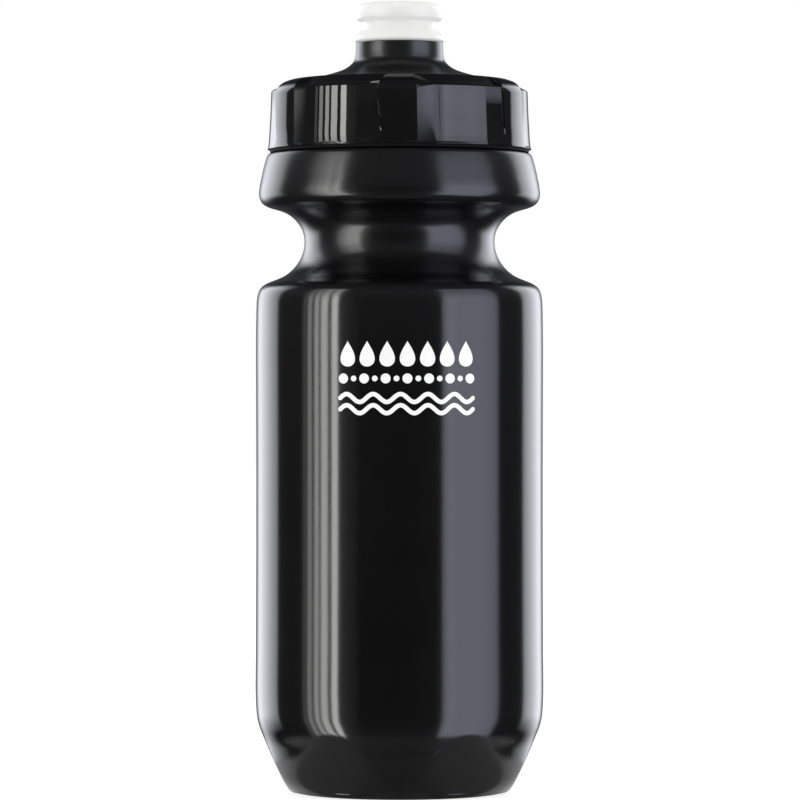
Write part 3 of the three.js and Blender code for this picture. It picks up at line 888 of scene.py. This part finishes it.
def cap_shape(angle, radius, height, row, marks):
    """Shapes grip and thread. Fills marks with per-point tool marks and crease numbers."""
    degrees = np.degrees(angle)
    even = (degrees - RIB_START) % PANEL_STEP + RIB_START
    leaning = even.copy()
    sector_end = np.zeros_like(even)
    for j in range(OUTSIDE_END + 1):
        edges = edges_at(j)
        sector_end[:, j] = edges[-1]
        leaning[:, j] = np.interp(even[:, j], EDGES, edges)
        # the turn of the grid dies out across the dome
        if j >= GRIP_END:
            share = smoothstep(radius[0, j], 20.0, 28.3)
            leaning[:, j] = even[:, j] + (leaning[:, j] - even[:, j]) * share
    along = np.clip(row - GRIP_START, 0, len(RIB) - 1)
    grip = (row >= GRIP_START) & (row < GRIP_END)
    flat_r, flat_z = FLAT[along, 0], FLAT[along, 1]
    rib_r, rib_z = RIB[along, 0], RIB[along, 1]
    side = np.clip(along / (SIDE_ROWS - 1.0), 0, 1)
    below = 1 - smoothstep(along.astype(float), SIDE_ROWS - 1.0, SIDE_ROWS + 16.0)
    # the floor opens a little towards the flat
    opening = np.clip((leaning - FLOOR_OPEN_FROM) / (FLOOR_END - FLOOR_OPEN_FROM), 0, 1)
    floor_r = flat_r + FLOOR_OPEN * opening * below
    # direction in which the flat faces, in degrees; it turns back near the shoulder
    normal = 44.6 - 3.1 * smoothstep(side, 0.42, 0.95)

    def flat_at(where):
        lean = np.cos(np.radians(FLOOR_END - normal)) / np.cos(np.radians(where - normal))
        r = (flat_r + FLOOR_OPEN) * lean
        return flat_r + (np.minimum(rib_r, r) - flat_r) * below

    # a narrow step leads from the flat up to the rib, which falls away a little towards the
    # next wall
    rib_start = sector_end - PANEL_STEP + STEP_WIDTH
    across = np.clip((leaning - rib_start) / (RIB_FALL_END - rib_start), 0, 1)
    tall = RIB_FALL * smoothstep(side, 0.12, 0.4)
    top_r = rib_r + (tall - (RIB_FALL + tall) * across) * below
    rise = np.clip((even - RIB_START) / (RIB_TOP - RIB_START), 0, 1)
    start_r = flat_at(sector_end)
    wall = np.clip((even - RIB_END) / (FLOOR_START - RIB_END), 0, 1)
    wall = 2 * wall - wall * wall
    on_wall = (even >= RIB_END) & (even < FLOOR_START)
    shaped = start_r + (top_r - start_r) * rise
    shaped = np.where(on_wall, top_r + (floor_r - top_r) * wall, shaped)
    shaped = np.where((even >= FLOOR_START) & (even < FLOOR_END), floor_r, shaped)
    shaped = np.where((even >= FLOOR_END) & (even < SECTOR_END), flat_at(leaning), shaped)
    # the shoulder of the rib stands above the dish
    rib_share = np.where(even < RIB_END, rise, np.where(on_wall, 1 - wall, 0.0))
    radius = np.where(grip, shaped, radius)
    height = np.where(grip, flat_z + (rib_z - flat_z) * rib_share, height)

    # marks: up to 1 on the recess walls, up to 2 on the ribs' shoulders
    tool = np.clip((12.6 - even) / 2.6, 0, 1) * (even > 9.4) * (along < SIDE_ROWS + 4)
    shoulder = smoothstep(along.astype(float), SIDE_ROWS + 4.0, SIDE_ROWS + 12.0)
    shoulder = shoulder * (even < 13.0)
    marks["tool"] = np.where(grip, np.maximum(tool, 2.0 * shoulder), 0.0).reshape(-1)
    # creases run up the foot and the top of the step, numbered by their angle
    crease = grip & np.any([np.abs(even - e) < 0.02 for e in (RIB_START, SECTOR_END, RIB_TOP)], 0)
    marks["crease"] = np.where(crease, np.round(degrees * 10.0), -1.0).reshape(-1)

    bore = (row > OUTSIDE_END) & (radius > 30.5) & (height < 178.9) & (height > 165.9)
    thread = thread_depth(
        angle,
        height,
        THREAD_START_Z - CAP_THREAD_DROP + THREAD_PITCH * CAP_THREAD_LEAD,
        2 * math.pi * CAP_THREAD_LEAD,
    )
    radius = np.where(bore, radius - thread, radius)
    turned = angle + np.radians(leaning - even)
    return np.where(row <= OUTSIDE_END, turned, angle), radius, height


def screw_cap():
    # finer columns at every edge of the grip and down the wall, in degrees
    extra = []
    for k in range(PANELS):
        for edge in EDGES[:-1]:
            for d in (-0.6, -0.3, -0.12, 0.0, 0.12, 0.3, 0.6):
                extra.append(PANEL_STEP * k + edge + d)
        extra += [PANEL_STEP * k + d for d in (10.4, 10.7, 11.0, 11.4, 11.8, 12.2, 12.6)]
    marks = {}
    cap = revolve(
        "screw_cap_shell", CAP_PROFILE, angles(288, extra), lambda *grid: cap_shape(*grid, marks)
    )

    def on_crease(edge):
        first, second = (marks["crease"][vert.index] for vert in edge.verts)
        return first >= 0 and first == second

    sharpen(cap, 24, also=on_crease)
    tool_marks = cap.data.attributes.new("recess_wall", "FLOAT", "POINT")
    tool_marks.data.foreach_set("value", marks["tool"].astype(np.float32))
    return cap


dress(screw_cap(), M_CAP, "cap", "cap_black", "screw_cap")

# ------------------------------------------------------------------ gasket
# r, z, corner radius
gasket_points = [
    (28.9, 178.15), (30.5, 178.15, 0.35), (30.5, 179.6, 0.35), (27.25, 179.6, 0.35),
    (27.25, 178.15, 0.35), (28.2, 178.15, 0.1), (28.4, 178.35, 0.1), (28.7, 178.35, 0.1),
    (28.9, 178.15),
]
gasket = revolve("cap_seal_ring", fillet(gasket_points), angles(192))
dress(gasket, M_GASKET, "seal_carrier", "gasket_grey", "cap_gasket")

# ------------------------------------------------------------------ spout core
CORE_HOLES, CORE_HOLE_R, CORE_HOLE_CIRCLE_R = 4, 0.7, 3.4
CORE_HOLE_DEPTH, CORE_HOLE_Z = 4, 195.3

# r, z, corner radius: the hollow and the flange, then the seal groove and the tip
core_low_points = [
    (0, 194.6), (4.2, 194.6, 0.3), (4.2, 179.9, 0.4), (12.45, 179.9, 0.3),
    (12.45, 181.9, 0.3), (7.2, 181.9, 0.6), (5.6, 182.8, 0.6), (5.6, 188.6, 0.12),
]
core_high_points = [
    (5.6, 188.6), (4.95, 188.6, 0.12), (4.95, 190.4, 0.12), (5.6, 190.4, 0.12),
    (5.6, 195.6, 0.5), (4.6, 196.0, 0.4), (2.6, 196.0, 0.25), (2.6, 198.3, 0.5), (0, 198.8),
]


def hole_cutter(angle):
    bm = bmesh.new()
    bmesh.ops.create_cone(
        bm, cap_ends=True, segments=32, radius1=CORE_HOLE_R * MM, radius2=CORE_HOLE_R * MM,
        depth=CORE_HOLE_DEPTH * MM,
    )
    x, y = CORE_HOLE_CIRCLE_R * math.sin(angle), -CORE_HOLE_CIRCLE_R * math.cos(angle)
    return cutter_of(bm, (x, y, CORE_HOLE_Z))


core_profile = np.vstack([fillet(core_low_points), fillet(core_high_points)[1:]])
core = revolve("spout_core_post", dense(core_profile, 0.8), angles(96))
cut(core, [hole_cutter(math.radians(45 + 360 // CORE_HOLES * i)) for i in range(CORE_HOLES)])
sharpen(core, 35)
dress(core, M_RIGID, "cap", "spout_rigid_white", "spout_core")

# ------------------------------------------------------------------ spout o-ring
ORING_R, ORING_Z = 5.42, 189.5
ORING_HALF_WIDTH, ORING_HALF_HEIGHT = 0.44, 0.62

oring_profile = np.array([
    (ORING_R + ORING_HALF_WIDTH * math.cos(a), ORING_Z + ORING_HALF_HEIGHT * math.sin(a))
    for a in np.linspace(0, 2 * math.pi, 33)
])
oring = revolve("spout_seal_ring", oring_profile, angles(96))
dress(oring, M_ORING, "cap", "oring_black", "spout_oring")

# ------------------------------------------------------------------ nozzle tube
# r, z, corner radius
slider_points = [
    (6.1, 190.0), (6.1, 183.9, 0.2), (6.5, 183.4, 0.1), (8.3, 183.4, 0.3), (8.7, 184.0, 0.3),
    (8.7, 184.7, 0.2), (7.4, 185.3, 0.4), (7.4, 194.6, 0.5), (7.9, 195.2, 0.3),
    (7.4, 196.3, 0.5), (7.4, 200.8, 0.25), (6.5, 200.8, 0.2), (6.5, 198.2, 0.2),
    (2.95, 198.2, 0.3), (2.95, 197.0, 0.3), (6.1, 197.0, 0.3), (6.1, 190.0),
]
slider = revolve("nozzle_tube", dense(fillet(slider_points), 0.9), angles(128))
dress(slider, M_RIGID, "nozzle", "spout_rigid_white", "nozzle_slider")

# ------------------------------------------------------------------ mouthpiece
# underside and inside have r, z, corner radius; the outside has r, z
mouth_under_points = [(9.4, 193.2), (10.2, 193.18), (11.2, 193.28)]
mouth_outside_points = [
    (11.2, 193.28), (11.5, 193.4), (11.66, 193.68), (11.66, 194.02), (11.5, 194.42),
    (11.12, 194.92), (10.72, 195.38), (10.3, 195.82), (9.98, 196.3), (9.72, 196.9),
    (9.52, 197.5), (9.42, 198.05), (9.5, 198.4), (9.82, 198.62), (10.35, 198.76),
    (10.82, 198.95), (11.1, 199.3), (11.22, 199.9), (11.27, 200.7), (11.2, 201.5),
    (10.98, 202.15), (10.5, 202.7), (9.8, 203.06), (8.9, 203.28), (8.0, 203.36),
    (7.0, 203.38),
]
mouth_inside_points = [
    (7.0, 203.38), (5.9, 203.3, 0.6), (5.2, 202.2, 0.8), (5.25, 201.15, 0.2),
    (7.75, 201.15, 0.2), (7.75, 196.6, 0.4), (8.25, 195.3, 0.4), (7.75, 194.4, 0.4),
    (7.75, 193.2, 0.2), (9.4, 193.2),
]
mouth_profile = np.vstack([
    fillet(mouth_under_points),
    thin(smooth(mouth_outside_points, 0.16, 0.04), turn=2.0, longest=0.5)[1:],
    fillet(mouth_inside_points)[1:],
])
mouth = revolve("mouthpiece_sleeve", dense(mouth_profile, 0.7), angles(160))
dress(mouth, M_ELASTOMER, "nozzle", "mouthpiece_white", "mouthpiece")

# ------------------------------------------------------------------ slit valve
SLIT_SIZE = (4.6, 0.14, 5)
SLIT_Z = 200

# r, z, corner radius
valve_points = [
    (0, 200.15), (1.8, 199.95, 4), (3.1, 199.4, 2), (3.9, 198.5, 0.4), (6.2, 198.5, 0.2),
    (6.2, 199.4, 0.2), (4.8, 199.4, 0.3), (4.35, 199.95, 0.5), (3.4, 200.5, 1.5),
    (1.9, 200.85, 4), (0, 200.95),
]


def slit_cutter(turn):
    bm = bmesh.new()
    bmesh.ops.create_cube(bm, size=1.0)
    bmesh.ops.scale(bm, vec=[side * MM for side in SLIT_SIZE], verts=bm.verts)
    return cutter_of(bm, (0, 0, SLIT_Z), turn)


valve = revolve("valve_dome", dense(fillet(valve_points), 0.5), angles(96))
cut(valve, [slit_cutter(math.radians(turn)) for turn in (45, 135)])
sharpen(valve, 35)
dress(valve, M_SILICONE, "nozzle", "valve_silicone", "slit_valve")

# ------------------------------------------------------------------ valve clamp ring
# r, z, corner radius
retainer_points = [
    (5.6, 199.7), (6.2, 199.7, 0.15), (6.2, 200.8, 0.25), (5.2, 200.8, 0.3),
    (5.0, 200.4, 0.2), (5.0, 199.7, 0.15), (5.6, 199.7),
]
retainer = revolve("valve_clamp_ring", fillet(retainer_points), angles(96))
dress(retainer, M_RIGID, "nozzle", "spout_rigid_white", "valve_retainer")

# ------------------------------------------------------------------ floor (metres from here on)
scene.view_settings.view_transform = "Standard"
scene.view_settings.look = "None"
scene.view_settings.exposure = 0.0
scene.view_settings.gamma = 1.0

FLOOR_R, FLOOR_Z = 6, -0.0003
GLOW_R = 0.08  # distance from the axis that the glow's stops are measured against
GLOW_FADE = (0.053, 0.061)  # distances over which reflections lose the floor
# share of GLOW_R, brightness: painted shadow dark under the foot, painted lamp light further out
PAINTED_SHADOW_AND_LIGHT_OUTWARDS = [(0.0, 0.05), (0.33, 0.3), (0.38, 0.9), (0.75, 1.0), (1.0, 0.9)]
# share of 180 degrees away from the front, brightness: painted lamp light, lighter beside the lamps
# than in front
PAINTED_LAMP_LIGHT_ROUND = [
    (0.0, 0.2), (0.11, 0.26), (0.17, 0.36), (0.25, 0.42), (0.31, 0.56), (0.36, 0.68),
    (0.42, 0.9), (0.48, 1.15), (1.0, 1.0),
]


def floor_material():
    """White to the camera; in reflections a milder white, painted as a glow of lamp light with painted
    shadow under the foot; absent from underneath.
    """
    material = bpy.data.materials.new("floor_white")
    nodes = Nodes(material, empty=True)
    output = nodes.add("OutputMaterial")
    to_camera = nodes.add("Emission", {"Strength": 0.86}).outputs[0]
    diffuse = nodes.add("BsdfDiffuse", {"Color": (0.30, 0.30, 0.305, 1)}).outputs[0]
    seen = nodes.add("AddShader", {0: to_camera, 1: diffuse}).outputs[0]
    # in reflections the floor shows painted lamp light and painted shadow only near the foot and then
    # gives way to the studio, so that the tall lights run on downwards
    place = nodes.xyz()
    distance = nodes.axis_distance(place)
    clearing = nodes.map_range(distance, GLOW_FADE, kind="SMOOTHSTEP")
    outwards = nodes.ramp(nodes.math("DIVIDE", distance, GLOW_R), PAINTED_SHADOW_AND_LIGHT_OUTWARDS)
    turn = nodes.degrees(nodes.azimuth(nodes.math("ABSOLUTE", place["X"]), place["Y"]))
    around = nodes.ramp(nodes.map_range(turn, (0.0, 180.0)), PAINTED_LAMP_LIGHT_ROUND)
    # the unlinked strength of the glow; the link to its pattern takes over
    # this glow is painted light: lamp light on the floor, and shadow under the foot, as the foot
    # reflects them
    glow = nodes.add("Emission", {"Strength": 0.38, "Color": (1, 1, 1.02, 1)})
    nodes.wire(glow, {"Strength": nodes.math("MULTIPLY", outwards, around)})
    clear = nodes.add("BsdfTransparent").outputs[0]
    reflected = nodes.mix_shader(clearing, glow.outputs[0], clear)
    is_camera = nodes.add("LightPath").outputs["Is Camera Ray"]
    above = nodes.mix_shader(is_camera, reflected, seen)
    backfacing = nodes.add("NewGeometry").outputs["Backfacing"]
    nodes.wire(output, {"Surface": nodes.mix_shader(backfacing, above, clear)})
    return material


def stage_sheet(name, verts, faces, material):
    mesh = bpy.data.meshes.new(name)
    mesh.from_pydata(verts, [], faces)
    mesh.materials.append(material)
    sheet = place(name, mesh)
    return sheet


floor_turns = np.linspace(0, 2 * math.pi, 64, endpoint=False)
floor_points = [(FLOOR_R * math.cos(a), FLOOR_R * math.sin(a), FLOOR_Z) for a in floor_turns]
stage_sheet("floor", floor_points, [tuple(range(64))], floor_material())

# ------------------------------------------------------------------ world
# White walls behind: degrees round from the front, brightness.
REAR_WALLS = [
    (-180, 0.1), (-168, 0.14), (-162, 0.6), (-156, 2.3), (-149, 3.3), (-133, 3.5),
    (-122, 2.7), (-116, 2.2), (-114, 0.05), (0, 0.0), (116.5, 0.05), (119, 2.3), (127, 3.1),
    (141, 3.5), (149, 3.3), (156, 2.3), (162, 0.6), (168, 0.14), (180, 0.1),
]
# The dark studio: z of the direction, brightness; a little lighter above than below.
DARK_STUDIO = [
    (-1.0, 0.16), (-0.5, 0.09), (-0.06, 0.02), (-0.012, 0.025), (0.012, 0.075), (0.05, 0.07),
    (0.15, 0.09), (0.4, 0.16), (0.6, 0.14), (1.0, 0.08),
]
# Degrees from the front, brightness.
STUDIO_ROUND = [(0, 1.0), (40, 1.1), (95, 0.9), (125, 0.5), (180, 0.35)]
SOFT_ROUND = [(0, 1.0), (60, 1.0), (110, 1.06), (180, 1.12)]
STUDIO_TINT = (0.975, 0.995, 1.06)


def studio_world():
    """White to the camera; a dark studio with white rear walls for reflections."""
    world = bpy.data.worlds.new("studio")
    scene.world = world
    nodes = Nodes(world, empty=True)
    output = nodes.add("OutputWorld")
    rays = nodes.add("LightPath").outputs
    to_camera = nodes.add("Background", {"Color": (1, 1, 1, 1), "Strength": 1.0})
    reflected = nodes.add("Background", {"Strength": 1.0})
    way = nodes.xyz("Generated")
    azimuth = nodes.degrees(nodes.azimuth(way["X"], way["Y"]))
    rear = nodes.table(azimuth, REAR_WALLS, scale=4.0)
    # those walls stand tall at the sides and low at the back, and fade out below the horizon
    away = nodes.math("ABSOLUTE", azimuth)
    wall_top = nodes.map_range(away, (138.0, 160.0), target=(0.55, 0.26))

    def fade_in(value, start, width):
        shifted = nodes.math("ADD", value, start)
        return nodes.math("MULTIPLY", shifted, 1.0 / width, clamp=True)

    over = nodes.math("SUBTRACT", wall_top, way["Z"])
    top_fade = fade_in(over, start=0.10, width=0.20)
    low_fade = fade_in(way["Z"], start=0.34, width=0.22)
    rear = nodes.math("MULTIPLY", nodes.math("MULTIPLY", rear, top_fade), low_fade)
    front = nodes.table(way["Z"], DARK_STUDIO, scale=1.0)
    front = nodes.math("MULTIPLY", front, nodes.table(away, STUDIO_ROUND, scale=2.0))
    total = nodes.math("ADD", rear, front)
    channels = {i: nodes.math("MULTIPLY", total, tint) for i, tint in enumerate(STUDIO_TINT)}
    nodes.wire(reflected, {"Color": nodes.add("CombineColor", channels).outputs[0]})
    # soft, even light for everything that scatters: the white spout and the print
    brightness = nodes.table(away, SOFT_ROUND, scale=2.0)
    soft = nodes.add("Background", {"Strength": brightness, "Color": (1.0, 1.0, 0.995, 1)})
    lit = nodes.mix_shader(rays["Is Diffuse Ray"], reflected.outputs[0], soft.outputs[0])
    surface = nodes.mix_shader(rays["Is Camera Ray"], lit, to_camera.outputs[0])
    nodes.wire(output, {"Surface": surface})


studio_world()

# ------------------------------------------------------------------ glowing sheets
SHEET_DISTANCE = 1.3
SHEET_BOTTOM, SHEET_TOP = -1.1, 1.15
SHEET_UPWARDS = [(-1.2, 1.0), (0.34, 1.0), (0.62, 0.64), (1.2, 0.5)]  # height, brightness


def emitter(name, start, end, strength, colour, segments, fade=None):
    """A glowing sheet round the object, between two angles from the front in degrees.

    fade holds (share of the way from start to end, brightness)."""
    material = bpy.data.materials.new(name)
    nodes = Nodes(material, empty=True)
    output = nodes.add("OutputMaterial")
    glow = nodes.add("Emission", {"Color": (*colour, 1), "Strength": strength})
    across = strength
    if fade:
        place = nodes.xyz()
        azimuth = nodes.azimuth(place["X"], place["Y"])
        share = nodes.map_range(azimuth, (math.radians(start), math.radians(end)))
        across = nodes.math("MULTIPLY", nodes.ramp(share, fade), strength)
    upwards = nodes.table(nodes.xyz()["Z"], SHEET_UPWARDS, scale=1.0)
    factors = (across, upwards) if fade else (upwards, across)
    nodes.wire(glow, {"Strength": nodes.math("MULTIPLY", *factors)})
    nodes.wire(output, {"Surface": glow.outputs[0]})
    verts = []
    for i in range(segments + 1):
        a = math.radians(start + (end - start) * i / segments)
        x, y = SHEET_DISTANCE * math.sin(a), -SHEET_DISTANCE * math.cos(a)
        verts += [(x, y, SHEET_BOTTOM), (x, y, SHEET_TOP)]
    faces = [(2 * i, 2 * i + 2, 2 * i + 3, 2 * i + 1) for i in range(segments)]
    sheet = stage_sheet(name, verts, faces, material)
    sheet.visible_camera = False
    sheet.visible_shadow = False
    sheet.visible_diffuse = False


emitter(
    "softbox_right", start=33.8, end=86.0, strength=2.95, colour=(0.93, 0.94, 1.14), segments=12,
    fade=[(0.0, 0.6), (0.10, 1.12), (0.3, 0.98), (0.6, 0.95), (0.85, 0.78), (0.94, 0.62), (1.0, 0.15)],
)
# left: a window with upright blinds, as five bright slots: start, end, strength
BLINDS = [
    (-82.5, -79.5, 0.9), (-77.5, -73.6, 3.9), (-70.8, -66.9, 6.2), (-64.6, -58.4, 7.9),
    (-55.0, -49.6, 9.8),
]
for i, (start, end, strength) in enumerate(BLINDS):
    emitter(f"blind_{i + 1}", start, end, strength, colour=(1.0, 1.0, 0.985), segments=3)
# a dim return beside the window
emitter(
    "blind_edge", start=-49.4, end=-33.0, strength=0.42, colour=(1.0, 1.0, 1.0), segments=6,
    fade=[(0.0, 1.0), (0.5, 0.6), (1.0, 0.3)],
)


# ------------------------------------------------------------------ lights and camera
def area(name, location, target, size, power):
    """A square lamp that reflections don't show."""
    light = bpy.data.lights.new(name, "AREA")
    light.shape = "SQUARE"
    light.size = size
    light.energy = power
    lamp = place(name, light)
    lamp.location = location
    aim = Vector(target) - Vector(location)
    lamp.rotation_euler = aim.to_track_quat("-Z", "Y").to_euler()
    lamp.visible_glossy = False
    lamp.visible_camera = False


area("fill_front", location=(0.15, -1.3, 0.55), target=(0, 0, 0.15), size=1.2, power=0.6)
area("overhead", location=(0, -0.1, 1.5), target=(0, 0, 0), size=1.4, power=0.8)

lens = bpy.data.cameras.new("camera")
lens.sensor_width = 36.0
lens.lens = 214.5
lens.clip_start = 0.05
lens.clip_end = 50
camera = place("camera", lens)
camera.location = (0.00013, -1.230, 0.101)
camera.rotation_euler = (math.radians(90), 0, 0)
scene.camera = camera
